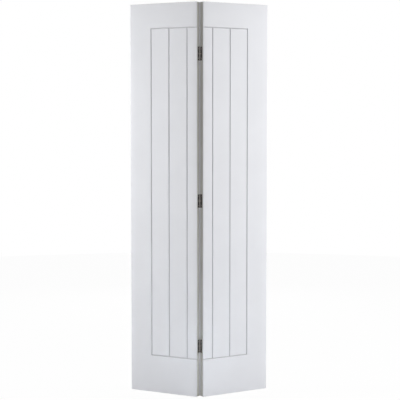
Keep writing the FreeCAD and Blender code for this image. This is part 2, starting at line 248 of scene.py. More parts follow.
# %% [markdown]
# The skin's grid needs lines where the surface bends: at the arrises, in the grooves and at the
# ends. Elsewhere the face is flat and a line every few centimetres is plenty. An even grid fine
# enough for the grooves would need more than a million points, and this one has a few thousand.

# %% Grid lines
DIGITS = 7                # grid lines are rounded to a tenth of a micrometre
S_SPACING = 0.03          # between lines on the flat
Z_SPACING = 0.06
WALL_STEPS = np.array([0.25, 0.4, 0.55, 0.7, 0.85, 0.93, 1.0, 1.15])
GROOVE_OFFSETS = GROOVE_WIDTH / 2 * np.concatenate([-WALL_STEPS[::-1], [0], WALL_STEPS])
QUARTER = 1 - np.cos(np.linspace(0, math.pi / 2, 6))     # lines across a rounded edge, 0 to 1


def sorted_lines(*groups):
    """Every grid line of the groups once, in rising order."""
    return np.unique(np.round(np.concatenate(groups), DIGITS))


def lines(length, spacing, places, offsets):
    """Grid lines from 0 to length: a regular spacing, with a bunch of lines at the given offsets
    around each place. Regular lines that come close to a bunch are left out."""
    regular = np.linspace(0, length, int(length / spacing) + 1)
    bunches = np.add.outer(places, offsets).ravel()
    keep_away = np.abs(offsets).max() + spacing / 8
    clear = np.all(np.abs(np.subtract.outer(regular, places)) > keep_away, axis=1)
    every = np.concatenate([regular[clear], bunches, [0.0, length]])
    return sorted_lines(every[(every >= 0) & (every <= length)])


print("lines across a groove:", len(GROOVE_OFFSETS), "and across a rounded edge:", len(QUARTER))

# %% [markdown]
# The front skin has both long edges rounded to a small arris. The top and bottom ends are only
# eased. Where two shapes overlap, the deeper one wins again. Each point is marked with its depth
# in the grooves, from 0 to 1, which the primer reads to paint shade down the grooves.

# %% Front skins
ARRIS = 0.0010
END_EASE = 0.0004


def rounding(distance, radius):
    """How far a rounded edge falls away at a distance from it: a quarter circle of that radius."""
    inside = np.clip(radius - distance, 0, radius)
    return radius - np.sqrt(radius * radius - inside * inside)


def face_lines(s_extra=(), z_extra=()):
    """The grid lines of a skin in s and z, with any extra ones."""
    s = lines(LEAF_WIDTH, S_SPACING, UPRIGHT_LINES, GROOVE_OFFSETS)
    z = lines(LEAF_HEIGHT, Z_SPACING, RAIL_LINES, GROOVE_OFFSETS)
    return (sorted_lines(s, ARRIS * QUARTER, LEAF_WIDTH - ARRIS * QUARTER, s_extra),
            sorted_lines(z, END_EASE * QUARTER, LEAF_HEIGHT - END_EASE * QUARTER, z_extra))


def end_drop(z):
    """How far an end is eased: the quarter circles at the bottom and the top."""
    return np.maximum(rounding(z, END_EASE), rounding(LEAF_HEIGHT - z, END_EASE))


def face_drop(s, z, hinge_arris):
    """How far the face lies below its flat plane: the deepest of grooves, arrises and ends."""
    arrises = np.maximum(rounding(LEAF_WIDTH - s, ARRIS), rounding(s, hinge_arris))
    return np.maximum(np.maximum(groove_depth(s, z), arrises), end_drop(z))


s_lines, z_lines = face_lines()
for leaf, side in SIDES.items():
    s, z = np.meshgrid(s_lines, z_lines)
    shown = in_leaf(side, s, THICKNESS - face_drop(s, z, ARRIS), z)
    hidden = in_leaf(side, s, THICKNESS - SKIN, z)
    skin = board(leaf + "_front_face", shown, hidden, leaf, groove_mark(s, z))
    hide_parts(leaf + "_front_skin")

# %% [markdown]
# The back skin carries the same pattern, but the hinges are let into it, so their sizes and
# places come first. Three butt hinges share the leaf's weight: one near each end, and one in the
# middle, which keeps the leaves from bowing apart. The plates are sunk to within a hair of their
# own thickness, so the shut leaves nearly touch. The barrel lies on the fold's axis, half of it
# behind the back faces.

# %% Hinge places
HINGE_HEIGHT = 0.068
HINGE_FROM_END = 0.255    # from a hinge's middle to the end of the leaf
HINGE_MIDDLES = {"top_hinge": LEAF_HEIGHT - HINGE_FROM_END, "middle_hinge": LEAF_HEIGHT / 2,
                 "bottom_hinge": HINGE_FROM_END}
PLATE_THICKNESS = 0.0020
PLATE_GAP = 0.0004        # between the two plates of a shut hinge
PLATE_REACH = 0.022
PLATE_S = PLATE_GAP / 2 - EDGE_GAP / 2
MORTISE_DEPTH = PLATE_S + PLATE_THICKNESS
CUT_CLEARANCE = 0.00015
PIN_RADIUS = 0.0022
PIN_CLEARANCE = 0.00006
PIN_HEAD_RADIUS = 0.0032
PIN_HEAD_HEIGHT = 0.0011
BARREL_RADIUS = PIN_RADIUS + PIN_CLEARANCE + PLATE_THICKNESS
BARREL_CLEARANCE = 0.0003
BARREL_ROOM = BARREL_RADIUS + BARREL_CLEARANCE
MORTISE_HALF = HINGE_HEIGHT / 2 + CUT_CLEARANCE
RECESS_HALF = HINGE_HEIGHT / 2 + PIN_CLEARANCE + PIN_HEAD_HEIGHT + BARREL_CLEARANCE
CUT_STEP = 0.00004        # the grid's stand-in for a wall square to the face


def within(z, half):
    """Where z lies within half of a hinge's middle."""
    return np.any([np.abs(z - middle) <= half for middle in HINGE_MIDDLES.values()], axis=0)


def cut_lines():
    """Grid lines in z just inside and just outside the ends of every mortise and recess."""
    ends = [half + step for half in (MORTISE_HALF, RECESS_HALF) for step in (0, CUT_STEP)]
    return [middle + way * end for middle in HINGE_MIDDLES.values() for end in ends
            for way in (-1, 1)]


print("mortise", round(MORTISE_DEPTH * 1000, 2), "mm deep, barrel", round(BARREL_RADIUS * 2000, 2),
      "mm across")

# %% [markdown]
# The back skin's hinge edge stays square, and each hinge needs two cuts there: the shallow mortise
# that the plate lies in, and a round recess that the barrel turns in. A boolean would cut them,
# but would leave long thin faces behind. Here both are part of the same height field. In the
# mortise's rows the first grid lines are squeezed inwards by the plate's depth, and in the
# recess's rows the face drops to the circle around the fold's axis. Between the hinges the sawn
# edge carries its coats of primer, which narrow the slit of light between the leaves.

# %% Back skins
SQUEEZE = 0.006           # how far the grid lines reach that a mortise pushes inwards
SQUEEZE_LINES = [0.0010, 0.0020, SQUEEZE]
RECESS_SHOULDER = 0.0008  # where lines crowd towards the circle's end
PRIMER_COAT = 0.00013     # how thick the primer lies on the sawn edge


def recess_drop(s):
    """Depth of the barrel's recess below the back face: the circle around the fold's axis."""
    from_axis = s + EDGE_GAP / 2
    circle = np.sqrt(np.clip(BARREL_ROOM ** 2 - from_axis ** 2, 0, None))
    return np.maximum(circle - FOLDED_GAP / 2, 0)


MORTISE_SQUEEZE = 1 - MORTISE_DEPTH / SQUEEZE
s_recess = BARREL_ROOM - EDGE_GAP / 2
recess_lines = s_recess - RECESS_SHOULDER * QUARTER
before_squeeze = (recess_lines - MORTISE_DEPTH) / MORTISE_SQUEEZE
s_near = np.concatenate([SQUEEZE_LINES, recess_lines, before_squeeze])
s_lines, z_lines = face_lines(s_near, cut_lines())
s_lines = s_lines[(s_lines == 0) | (s_lines > ARRIS)]
for leaf, side in SIDES.items():
    s, z = np.meshgrid(s_lines, z_lines)
    pushed = np.where(s < SQUEEZE, MORTISE_DEPTH + s * MORTISE_SQUEEZE, s)
    coated = np.where(s == 0, -PRIMER_COAT, s)
    s = np.where(within(z, MORTISE_HALF), pushed, coated)
    drop = face_drop(s, z, 0)
    drop = np.where(within(z, RECESS_HALF), np.maximum(recess_drop(s), drop), drop)
    skin = board(leaf + "_back_face", in_leaf(side, s, drop, z), in_leaf(side, s, SKIN, z),
                 leaf, groove_mark(s, z))
    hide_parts(leaf + "_back_skin")

# %% [markdown]
# ## The lippings
#
# Between the two skins, the long edges of a leaf are closed by a wooden strip. It is primed with
# the faces, and only a hairline shows where it meets them. That hairline is worth having, because
# it tells how the leaf is built. It comes from easing the strip's edges by a fifth of a
# millimetre. The strip on the hinge side is also let in for the plates.

# %% Lippings
LIPPING = 0.008
LIPPING_EASE = 0.0002
STRIP_MARGIN = 0.001      # from the strip's edge to the first line on its flat
LINES_ACROSS = 5
LINES_UP = 34
CUT_END = PLATE_REACH + CUT_CLEARANCE

strip_start, strip_end = SKIN, SKIN + CORE
n_lines = sorted_lines(
    strip_start + LIPPING_EASE * QUARTER, strip_end - LIPPING_EASE * QUARTER,
    np.linspace(strip_start + STRIP_MARGIN, strip_end - STRIP_MARGIN, LINES_ACROSS),
    [CUT_END, CUT_END + CUT_STEP])
z_lines = sorted_lines(
    END_EASE * QUARTER, LEAF_HEIGHT - END_EASE * QUARTER,
    np.linspace(END_EASE, LEAF_HEIGHT - END_EASE, LINES_UP), cut_lines())
n, z = np.meshgrid(n_lines, z_lines)
ease = np.maximum(rounding(n - strip_start, LIPPING_EASE), rounding(strip_end - n, LIPPING_EASE))
ease = np.maximum(ease, end_drop(z))
let_in = np.where(within(z, MORTISE_HALF) & (n <= CUT_END), MORTISE_DEPTH, 0)
for leaf, side in SIDES.items():
    strip = board(leaf + "_hinge_edge", in_leaf(side, np.maximum(ease, let_in), n, z),
                  in_leaf(side, LIPPING, n, z), leaf)
    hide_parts(leaf + "_hinge_lipping")
    strip = board(leaf + "_outer_edge", in_leaf(side, LEAF_WIDTH - ease, n, z),
                  in_leaf(side, LEAF_WIDTH - LIPPING, n, z), leaf)
    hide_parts(leaf + "_outer_lipping")

# %% [markdown]
# ## The hinge plates
#
# Each half of a hinge is one piece of rolled sheet: a plate with three countersunk holes, and
# knuckles curled around the pin. Holes and curls in one sheet make a poor grid. Here the CAD
# solid has the exact shape already, so the piece is a copy of it: its loose triangles are merged,
# its flat areas joined, and a narrow bevel rolls the sharp edges over as tumbling does.

# %% Rolled plates
TUMBLED = 0.00018
CAD_MERGE = 1e-6          # corners of loose triangles closer than this are one
FLAT = math.radians(1)    # faces that meet flatter than this are joined


def softened(node, name, width):
    """A copy of a CAD node with merged points, joined flat areas and bevelled sharp edges."""
    source = frame["nodes"][node]
    mesh = source.data.copy()
    mesh.name = name
    mesh.materials.clear()
    shell = bmesh.new()
    shell.from_mesh(mesh)
    bmesh.ops.remove_doubles(shell, verts=shell.verts, dist=CAD_MERGE)
    bmesh.ops.dissolve_limit(shell, angle_limit=FLAT, verts=shell.verts, edges=shell.edges)
    shell.to_mesh(mesh)
    shell.free()
    mesh.shade_smooth()
    mesh.set_sharp_from_angle(angle=CRISP)
    piece = bpy.data.objects.new(name, mesh)
    bpy.context.scene.collection.objects.link(piece)
    bevel = piece.modifiers.new("tumbled", "BEVEL")
    bevel.width = width
    bevel.segments = 2
    bevel.limit_method = "ANGLE"
    bevel.angle_limit = CRISP
    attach(piece, source["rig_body"])
    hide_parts(node)
    print(f"{name}: {len(mesh.polygons)} faces before the bevel")


for hinge in HINGE_MIDDLES:
    for half in ("pivot", "guide"):
        softened(f"{hinge}_{half}_plate", f"{hinge}_{half}_half", TUMBLED)

# %% [markdown]
# ## Turned pieces
#
# Pins and sockets are round, so each is a profile swept once around an axis. The profile is a list
# of radius and height pairs that starts and ends on the axis, where the ring of points shrinks to
# one and is merged. The hinge pin is drawn wire with a small rounded head at each end, which keeps
# it in the knuckles.

# %% Hinge pins
RING_POINTS = 40
ARC_POINTS = 5


def turned(name, profile, base, along, body):
    """A solid of revolution: each profile point (radius, height) becomes a ring around the line
    from base in the direction along, which is +1 for up and -1 for down."""
    radius, height = np.array(profile).T
    angle = np.linspace(0, 2 * math.pi, RING_POINTS + 1)
    x = base[0] + np.multiply.outer(radius, np.cos(angle))
    y = base[1] + np.multiply.outer(radius, np.sin(angle))
    z = base[2] + along * np.repeat(height[:, None], RING_POINTS + 1, axis=1)
    points = np.stack([x, y, z], axis=-1)
    index = np.arange(x.size).reshape(x.shape)
    return new_piece(name, points, quads(index), body)


def arc(centre_r, centre_h, radius, start, stop):
    """Profile points on a circle's arc, with the angles in degrees from the outward direction."""
    angle = np.radians(np.linspace(start, stop, ARC_POINTS))
    return list(zip(centre_r + radius * np.cos(angle), centre_h + radius * np.sin(angle)))


HEAD_ROUND = 0.0008
pin_half = HINGE_HEIGHT / 2 + PIN_CLEARANCE
top_half = ([(PIN_RADIUS, pin_half), (PIN_HEAD_RADIUS, pin_half)]
            + arc(PIN_HEAD_RADIUS - HEAD_ROUND, pin_half + PIN_HEAD_HEIGHT - HEAD_ROUND,
                  HEAD_ROUND, 0, 90) + [(0.0, pin_half + PIN_HEAD_HEIGHT)])
pin_profile = [(r, -h) for r, h in reversed(top_half)] + top_half
for hinge, middle in HINGE_MIDDLES.items():
    pin = turned(f"{hinge}_round_pin", pin_profile, (0, AXIS_Y, middle), 1, "pivot_leaf")
    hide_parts(f"{hinge}_pin")

# %% [markdown]
# The sockets are nylon cups in the ends of the leaves. Each takes the shank of a pivot or of the
# track guide. A flange around the mouth is let in flush with the leaf's end. Moulded rims are
# never sharp, so the mouth, the flange and the far end get small arcs.

# %% Sockets
BORE_RADIUS = 0.0048
BORE_DEPTH = 0.038
SOCKET_WALL = 0.0022
SOCKET_FLOOR = 0.003
SOCKET_INSET = 0.030      # from the outer edge to the middle of the bore
FLANGE_REACH = 0.0020
FLANGE = 0.0020
MOULD_ROUND = 0.0004
SOCKET_RADIUS = BORE_RADIUS + SOCKET_WALL
FLANGE_RADIUS = SOCKET_RADIUS + FLANGE_REACH
SOCKET_LENGTH = BORE_DEPTH + SOCKET_FLOOR
SOCKET_S = LEAF_WIDTH - SOCKET_INSET
socket_profile = (
    [(0.0, BORE_DEPTH), (BORE_RADIUS, BORE_DEPTH)]
    + arc(BORE_RADIUS + MOULD_ROUND, MOULD_ROUND, MOULD_ROUND, 180, 270)
    + arc(FLANGE_RADIUS - MOULD_ROUND, MOULD_ROUND, MOULD_ROUND, 270, 360)
    + [(FLANGE_RADIUS, FLANGE), (SOCKET_RADIUS, FLANGE)]
    + arc(SOCKET_RADIUS - 2 * MOULD_ROUND, SOCKET_LENGTH - 2 * MOULD_ROUND, 2 * MOULD_ROUND, 0, 90)
    + [(0.0, SOCKET_LENGTH)])
for leaf, end in (("pivot_leaf", "top"), ("pivot_leaf", "bottom"), ("guide_leaf", "top")):
    mouth = LEAF_HEIGHT if end == "top" else 0.0
    base = in_leaf(SIDES[leaf], SOCKET_S, THICKNESS / 2, mouth)
    cup = turned(f"{leaf}_{end}_cup", socket_profile, base, -1 if end == "top" else 1, leaf)
    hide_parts(f"{leaf}_{end}_socket")

# %% [markdown]
# ## Screws
#
# A countersunk wood screw is round too, apart from the cross pressed into its head. The head's
# face is therefore a square grid bent into a disc: its lines run along the cross's arms in the
# middle and close up into a circle at the rim. The cross is a dip in that grid.

# %% Screw head
SCREW_HEAD = 0.0035       # its radius
CROSS_REACH = 0.0019
CROSS_HALF_WIDTH = 0.0004
CROSS_DEPTH = 0.0011
CROSS_TAPER = 0.35        # how much shallower the arms get towards their ends
SIDE_FADE = 0.3           # of the half width, beyond it
END_FADE = 0.16           # of the reach, half of it beyond
RIM_LINES = [0.72, 0.86, 0.95, 1.0]


def screw_grid():
    """Grid lines from -1 to 1 across the head, with pairs of lines at the edges of the arms."""
    widths = CROSS_HALF_WIDTH * np.array([0.55, 1, 1 + SIDE_FADE]) / SCREW_HEAD
    reaches = CROSS_REACH * np.array([0.6, 1 - END_FADE / 2, 1 + END_FADE / 2]) / SCREW_HEAD
    half = np.concatenate([widths, reaches, RIM_LINES])
    return np.concatenate([-half[::-1], [0.0], half])


def cross_dip(u, v):
    """Depth of the cross at grid place u, v: full inside either arm, fading over its edges, and
    shallower towards the arms' ends."""
    u, v = np.abs(u) * SCREW_HEAD, np.abs(v) * SCREW_HEAD
    across, along = np.minimum(u, v), np.maximum(u, v)
    side = (CROSS_HALF_WIDTH * (1 + SIDE_FADE) - across) / (CROSS_HALF_WIDTH * SIDE_FADE)
    end = (CROSS_REACH * (1 + END_FADE / 2) - along) / (CROSS_REACH * END_FADE)
    taper = 1 - CROSS_TAPER * np.clip(along / CROSS_REACH, 0, 1)
    return CROSS_DEPTH * np.clip(side, 0, 1) * np.clip(end, 0, 1) * taper


print("lines across a screw's head:", len(screw_grid()), "and the cross",
      round(cross_dip(0, 0) * 1000, 2), "mm deep")

# %% [markdown]
# The rim's points carry on down the cone, the shank and the point as rings. One screw is made
# like that, and its points are then moved to the three holes of each plate. The middle hole lies
# nearer the back face, so that the three screws don't split the strip along one line of grain.

# %% Cross-head screws
SCREW_RADIUS = 0.00175
SCREW_LENGTH = 0.025
SCREW_TIP = 0.0035
SCREW_RIM = 0.00012
SCREW_SINK = 0.00005
SCREW_INSET = 0.010       # from the outer screws to the ends of the plate
SCREW_SPREAD = HINGE_HEIGHT / 2 - SCREW_INSET
SCREW_PLACES = ((-1, 0.0155), (0, 0.0085), (1, 0.0155))   # way up or down, and n


def screw_points():
    """One screw along +x from the middle of its head: (points, faces). The square grid becomes a
    disc by scaling u with the root of 1 - v*v/2, and v likewise."""
    line = screw_grid()
    u, v = np.meshgrid(line, line)
    across = u * np.sqrt(1 - v * v / 2) * SCREW_HEAD
    up = v * np.sqrt(1 - u * u / 2) * SCREW_HEAD
    count = len(line)
    head = np.stack([cross_dip(u, v), across, up], axis=-1)
    index = np.arange(count * count).reshape(count, count)
    rim = np.concatenate([index[0, :-1], index[:-1, -1], index[-1, :0:-1], index[:0:-1, 0]])
    spoke = head.reshape(-1, 3)[rim] / SCREW_HEAD
    spoke[:, 0] = 0
    rings = [(SCREW_RIM, SCREW_HEAD * 0.995), (SCREW_HEAD - SCREW_RADIUS, SCREW_RADIUS),
             (SCREW_LENGTH - SCREW_TIP, SCREW_RADIUS),
             (SCREW_LENGTH - SCREW_TIP * 0.4, SCREW_RADIUS * 0.45), (SCREW_LENGTH, 0.0)]
    body = np.stack([spoke * radius + [depth, 0, 0] for depth, radius in rings])
    numbers = count * count + np.arange(len(rings) * len(rim)).reshape(len(rings), len(rim))
    bands = np.vstack([rim, numbers])
    bands = np.hstack([bands, bands[:, :1]])
    points = np.concatenate([head.reshape(-1, 3), body.reshape(-1, 3)])
    return points, np.concatenate([quads(index), quads(bands)])


one_screw, screw_faces = screw_points()
for hinge, middle in HINGE_MIDDLES.items():
    for half, leaf in (("pivot", "pivot_leaf"), ("guide", "guide_leaf")):
        points, faces = [], []
        for row, (way, depth) in enumerate(SCREW_PLACES):
            place = np.array([PLATE_S + SCREW_SINK, depth, middle + way * SCREW_SPREAD])
            s, n, z = (one_screw + place).T
            points.append(in_leaf(SIDES[leaf], s, n, z))
            faces.append(screw_faces + row * len(one_screw))
        screws = new_piece(f"{hinge}_{half}_cross_screws", np.concatenate(points),
                           np.concatenate(faces), leaf)
        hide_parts(f"{hinge}_{half}_screws")

# %% [markdown]
# ## Finishes
#
# Each finish is a small node recipe on a Principled shader. Patterns are measured in metres on
# Object coordinates, so a two-millimetre grain is two millimetres on every piece. Woods need the
# pattern turned to their grain. A Mapping node does that: it turns the coordinates by the leaf's
# angle and stretches them along the fibres.
#
# Colours are written as a paint card gives them, in display values. Blender's sockets want linear
# light, so one helper converts them.

# %% Colours
def tone(red, green, blue):
    """Linear colour of a display colour given from 0 to 255, by the usual display curve: a
    straight foot, and above it a power of 2.4."""
    display = np.array([red, green, blue]) / 255
    linear = np.where(display <= 0.04045, display / 12.92, ((display + 0.055) / 1.055) ** 2.4)
    return (*linear.tolist(), 1.0)


print("a mid grey of 128 in linear light:", round(tone(128, 128, 128)[0], 3))

# %% Finish helpers
class Finish:
    """A material under construction: its tree, its Principled shader and its coordinates."""

    def __init__(self, name, sockets=(), turn=0.0):
        self.material = bpy.data.materials.new(name)
        self.material.use_nodes = True
        self.tree = self.material.node_tree
        self.shader = self.tree.nodes["Principled BSDF"]
        self.turn = turn
        self.place = self.tree.nodes.new("ShaderNodeTexCoord").outputs["Object"]
        for socket, value in dict(sockets).items():
            self.shader.inputs[socket].default_value = value

    def node(self, kind, inputs=(), **settings):
        """A node with its settings; an input is a plain value or the output that feeds it."""
        node = self.tree.nodes.new(kind)
        for name, value in settings.items():
            setattr(node, name, value)
        for socket, value in dict(inputs).items():
            if isinstance(value, bpy.types.NodeSocket):
                self.tree.links.new(value, node.inputs[socket])
            else:
                node.inputs[socket].default_value = value
        return node

    def coordinates(self, stretch=(1, 1, 1), shift=(0, 0, 0)):
        """Object coordinates turned to the leaf, then stretched and shifted."""
        turned_place = self.node("ShaderNodeMapping", {"Vector": self.place,
                                                       "Rotation": (0, 0, -self.turn)})
        return self.node("ShaderNodeMapping", {"Vector": turned_place.outputs[0],
                                               "Scale": stretch, "Location": shift}).outputs[0]

    def noise(self, size, detail=3.0, stretch=(1, 1, 1), shift=(0, 0, 0)):
        """Soft noise whose spots are about size metres across, before the stretch."""
        vector = self.coordinates(stretch, shift)
        return self.node("ShaderNodeTexNoise", {"Vector": vector, "Scale": 1 / size,
                                                "Detail": detail}).outputs["Fac"]

    def ramp(self, factor, stops):
        """Colours at positions from 0 to 1 along a factor."""
        node = self.node("ShaderNodeValToRGB", {"Fac": factor})
        elements = node.color_ramp.elements
        while len(elements) < len(stops):
            elements.new(0.5)
        for element, (position, colour) in zip(elements, stops):
            element.position = position
            element.color = colour
        return node.outputs["Color"]

    def span(self, factor, low, high, start=0.0, stop=1.0):
        """A factor from start to stop carried over to low to high."""
        return self.node("ShaderNodeMapRange", {"Value": factor, "From Min": start,
                                                "From Max": stop, "To Min": low,
                                                "To Max": high}).outputs["Result"]

    def blend(self, factor, first, second, way="MIX"):
        """Two colours mixed by a factor. The Mix node numbers its colour sockets 6 and 7."""
        node = self.tree.nodes.new("ShaderNodeMix")
        node.data_type = "RGBA"
        node.blend_type = way
        for index, value in ((0, factor), (6, first), (7, second)):
            if isinstance(value, bpy.types.NodeSocket):
                self.tree.links.new(value, node.inputs[index])
            else:
                node.inputs[index].default_value = value
        return node.outputs[2]

    def bump(self, height, depth):
        """A bump of the given depth in metres, on the shader's normal."""
        node = self.node("ShaderNodeBump", {"Height": height, "Distance": depth,
                                            "Strength": 1.0})
        self.tree.links.new(node.outputs["Normal"], self.shader.inputs["Normal"])

    def feed(self, socket, output):
        """Lead an output to a socket of the shader."""
        self.tree.links.new(output, self.shader.inputs[socket])


def dress(material, *names):
    """Give a finish to pieces of this lesson, or to nodes of the frame that stay as they are."""
    for name in names:
        if name in frame["nodes"]:
            for slot in frame["nodes"][name].material_slots:
                slot.material = material
        else:
            bpy.data.objects[name].data.materials.append(material)
    print(f"{material.name}: {', '.join(names)}")


# %% [markdown]
# ### White primer
#
# The doors leave the works primed, ready to paint. Primer is satin, a cold white, and has the fine
# orange peel of a spray gun. Its thickness wanders a little over a hand's breadth. Down a groove
# the white is blended to a grey with the depth, as painted shade on top of the grooves' own
# shadows. The skins are sawn to length after priming, so their ends show the brown fibreboard.

# %% Primer on the faces
SAWN_START = LEAF_HEIGHT / 2 - 0.00035    # from mid height, where the primer begins to end
SAWN_FULL = LEAF_HEIGHT / 2 - 0.00015


def primed(name, thin, full, groove_shade, grain_size, grain_stretch, grain_depth, bare_dark,
           bare_pale):
    """Satin primer between two whites, blended to a painted shade down the grooves, with orange peel
    over a faint grain, and bare ends between two browns."""
    finish = Finish(name, {"Specular IOR Level": 0.42})
    cloud = finish.noise(0.16, 2.0)
    groove = finish.node("ShaderNodeAttribute", attribute_name="groove").outputs["Fac"]
    # Down the grooves the white is blended to a grey by their depth: this grey is painted shade.
    white = finish.blend(groove, finish.ramp(cloud, [(0.35, thin), (0.65, full)]), groove_shade)
    fibre = finish.noise(0.0011, 4.0)
    bare = finish.ramp(fibre, [(0.35, bare_dark), (0.65, bare_pale)])
    height = finish.node("ShaderNodeSeparateXYZ", {"Vector": finish.place}).outputs["Z"]
    from_middle = finish.node("ShaderNodeMath", {0: height, 1: LEAF_HEIGHT / 2},
                              operation="SUBTRACT").outputs[0]
    reach = finish.node("ShaderNodeMath", {0: from_middle}, operation="ABSOLUTE").outputs[0]
    sawn = finish.span(reach, 0, 1, start=SAWN_START, stop=SAWN_FULL)
    finish.feed("Base Color", finish.blend(sawn, white, bare))
    finish.feed("Roughness", finish.span(finish.noise(0.03), 0.38, 0.47, start=0.3, stop=0.7))
    peel = finish.span(finish.noise(0.0022, 2.0), 0, 1)
    grain = finish.noise(grain_size, stretch=grain_stretch)
    both = finish.node("ShaderNodeMath", {0: grain, 1: grain_depth, 2: peel},
                       operation="MULTIPLY_ADD")
    finish.bump(both.outputs[0], 0.00006)
    return finish.material


# The grey that the white turns to down the grooves is painted shade.
face_primer = primed(
    "white_primer_on_fibreboard", thin=tone(235, 236, 240), full=tone(237, 238, 242),
    groove_shade=tone(205, 205, 208), grain_size=0.0006, grain_stretch=(1, 1, 1), grain_depth=0.25,
    bare_dark=tone(112, 84, 60), bare_pale=tone(150, 119, 90))
dress(face_primer, *[f"{leaf}_{face}_face" for leaf in SIDES for face in ("front", "back")])

# %% [markdown]
# The edge strips get the same primer in a greyer, warmer white. The grain still stands up under
# it, so the bump has long streaks up the strip, and the sawn ends are bare softwood.

# %% Primer on the edges
edge_primer = primed(
    "white_primer_on_softwood", thin=tone(217, 216, 210), full=tone(222, 221, 215),
    groove_shade=tone(217, 216, 210), grain_size=0.0007, grain_stretch=(1, 1, 0.02), grain_depth=1.1,
    bare_dark=tone(196, 160, 110), bare_pale=tone(219, 188, 140))
dress(edge_primer, *[f"{leaf}_{edge}_edge" for leaf in SIDES for edge in ("hinge", "outer")])

# %% [markdown]
# ### Softwood
#
# The stiles and rails are planed softwood. A board is cut from a log, so its growth rings are
# slices of wide circles around a pith that is often outside the board. A wave texture of rings,
# with its centre moved a hand's breadth away and its coordinates pushed about by noise, gives
# that look on the long sides and on the end grain alike. Pale spring wood fades slowly into dark
# autumn wood and stops short, which is a ramp with one steep end.

# %% Softwood along z and along s
RING_SWAY = 0.009         # how far the noise pushes a ring
RING_SCALE = 11.0


def softwood(name, turn, along, pith):
    """Planed softwood: rings around a line that runs along z or s past the point pith."""
    finish = Finish(name, turn=turn)
    if along == "z":
        flow, direction = (1, 1, 0.06), "Z"
    else:
        flow, direction = (0.06, 1, 1), "X"
    drift = finish.noise(0.05, stretch=flow)
    centred = finish.coordinates(shift=pith)
    sway = finish.node("ShaderNodeVectorMath", {0: drift, 1: (RING_SWAY,) * 3},
                       operation="MULTIPLY").outputs[0]
    pushed = finish.node("ShaderNodeVectorMath", {0: centred, 1: sway},
                         operation="ADD").outputs[0]
    rings = finish.node("ShaderNodeTexWave",
                        {"Vector": pushed, "Scale": RING_SCALE, "Distortion": 0.0},
                        wave_type="RINGS", rings_direction=direction,
                        wave_profile="SAW").outputs["Fac"]
    wood = finish.ramp(rings, [(0.0, tone(226, 196, 148)), (0.55, tone(216, 180, 128)),
                               (0.86, tone(184, 138, 84)), (0.97, tone(222, 190, 142))])
    fibre = finish.noise(0.0008, 4.0, flow)
    streak = finish.ramp(fibre, [(0.3, tone(222, 214, 200)), (0.7, tone(255, 255, 255))])
    finish.feed("Base Color", finish.blend(1.0, wood, streak, "MULTIPLY"))
    finish.feed("Roughness", finish.span(rings, 0.6, 0.48))
    finish.bump(fibre, 0.00008)
    return finish.material


for leaf, side in SIDES.items():
    upright = softwood(f"softwood_upright_{leaf}", side * TURN, "z", (0.05, 0.09, 0))
    level = softwood(f"softwood_level_{leaf}", side * TURN, "s", (0, 0.09, 0.04))
    dress(upright, f"{leaf}_outer_stile", f"{leaf}_hinge_stile")
    dress(level, f"{leaf}_top_rail", f"{leaf}_bottom_rail")

# %% [markdown]
# ### Chipboard
#
# The infill is pressed from wood chips, which lie every way and take the glue differently. Cells
# of a Voronoi texture, each with one colour and flattened a little, stand for the chips. Noise
# alone would give the colours, but not the chips' edges.

# %% Chipboard
CHIPS = 260.0             # to a metre
GLUE_LINE = 0.05          # how wide the dark line between chips is, in chips


def chipboard(name, turn):
    """Pressed chips: flattened cells in mixed browns with dark glue lines between them."""
    finish = Finish(name, {"Roughness": 0.8}, turn)
    place = finish.coordinates((1, 1.8, 0.7))
    chips = finish.node("ShaderNodeTexVoronoi", {"Vector": place, "Scale": CHIPS},
                        feature="F1").outputs["Color"]
    edge = finish.node("ShaderNodeTexVoronoi", {"Vector": place, "Scale": CHIPS},
                       feature="DISTANCE_TO_EDGE").outputs["Distance"]
    shade = finish.node("ShaderNodeSeparateColor", {"Color": chips}).outputs[0]
    body = finish.ramp(shade, [(0.0, tone(146, 112, 74)), (0.5, tone(186, 150, 104)),
                               (1.0, tone(214, 184, 138))])
    line = finish.span(edge, 0.62, 1.0, stop=GLUE_LINE)
    dark = finish.node("ShaderNodeCombineColor", {0: line, 1: line, 2: line}).outputs[0]
    finish.feed("Base Color", finish.blend(1.0, body, dark, "MULTIPLY"))
    finish.bump(finish.noise(0.0016, 5.0), 0.00025)
    return finish.material


for leaf, side in SIDES.items():
    dress(chipboard(f"chipboard_{leaf}", side * TURN), f"{leaf}_tubular_core")

# %% [markdown]
# ### Beech
#
# The dowels that hold the frame's corners are beech: close, pinkish, with short darker flecks
# along the grain. Two noises stretched along the fibres give both, and the flecks are the few
# spots where the second noise runs low.

# %% Beech
def beech(name, turn):
    """Close pinkish wood with short flecks along s."""
    finish = Finish(name, {"Roughness": 0.5}, turn)
    grain = finish.noise(0.0012, 4.0, (0.12, 1, 1))
    flecks = finish.noise(0.0007, 1.0, (0.35, 1, 1), (0.4, 0, 0))
    wood = finish.ramp(grain, [(0.3, tone(199, 156, 116)), (0.7, tone(222, 184, 145))])
    fleck = finish.ramp(flecks, [(0.30, tone(168, 120, 84)), (0.38, tone(255, 255, 255))])
    finish.feed("Base Color", finish.blend(0.6, wood, fleck, "MULTIPLY"))
    finish.bump(grain, 0.00006)
    return finish.material


for leaf, side in SIDES.items():
    dress(beech(f"beech_{leaf}", side * TURN), f"{leaf}_dowels")

# %% [markdown]
# ### Nylon
#
# The pivot sockets are moulded in off-white nylon. It is dull and slightly see-through, and it
# shows the fine texture of the mould.

